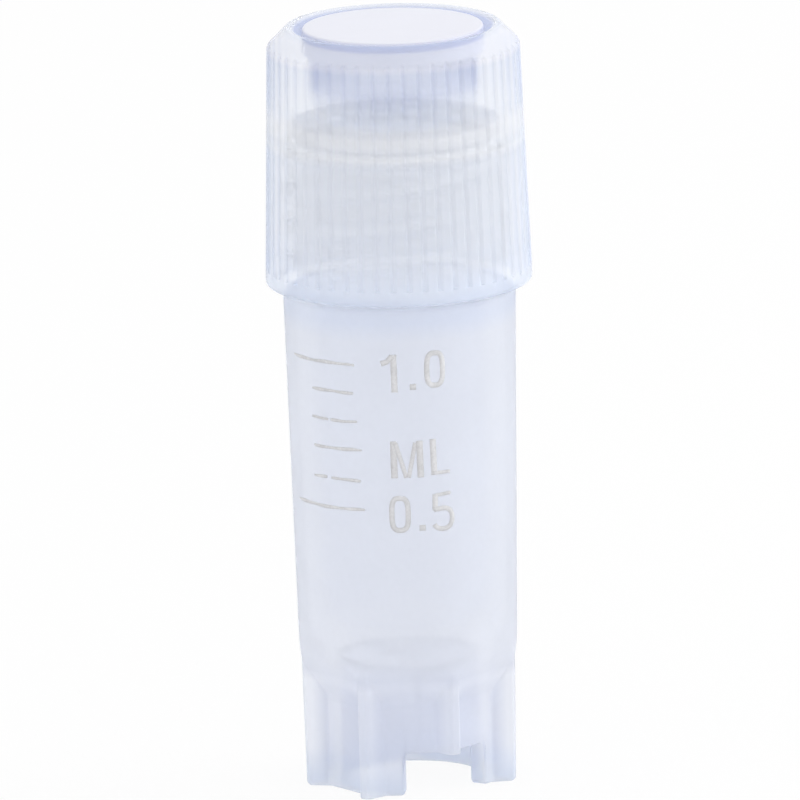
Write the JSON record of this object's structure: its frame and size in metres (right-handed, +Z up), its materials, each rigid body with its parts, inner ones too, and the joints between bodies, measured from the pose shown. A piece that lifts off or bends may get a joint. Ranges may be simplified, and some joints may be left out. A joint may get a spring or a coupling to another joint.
{
  "type": "cryovial",
  "caption": "Self-standing screw-cap vial of about one millilitre: tapered translucent tube with printed scale, fluted star foot with a notch, grooved cap with an inset disc.",
  "frame": {"origin": "centre of the foot's base, on the surface that the vial stands on", "axes": "+Z up along the vial's axis towards the cap; the printed side faces -Y"},
  "size_m": [0.0144, 0.0144, 0.0416],
  "materials": {
    "tube_plastic": "frosted natural polypropylene",
    "cap_plastic": "frosted natural polypropylene, moulded grip grooves",
    "insert_plastic": "smooth pale polypropylene",
    "silicone": "pale silicone"
  },
  "bodies": {
    "tube": {"vial_tube": "tube_plastic"},
    "washer": {"sealing_washer": "silicone"},
    "cap": {"screw_cap": "cap_plastic", "cap_insert": "insert_plastic"}
  },
  "joints": [
    {"name": "cap_lift", "type": "slide", "parent": "tube", "child": "washer", "axis": [0, 0, 1], "range_m": [0, 0.005]},
    {"name": "cap_turn", "type": "hinge", "parent": "washer", "child": "cap", "pos_m": [0, 0, 0.0364], "axis": [0, 0, 1], "range_deg": [0, 450]}
  ],
  "couplings": [
    {"joint": "cap_turn", "follows": "cap_lift", "rad_per_m": 1570.8}
  ]
}
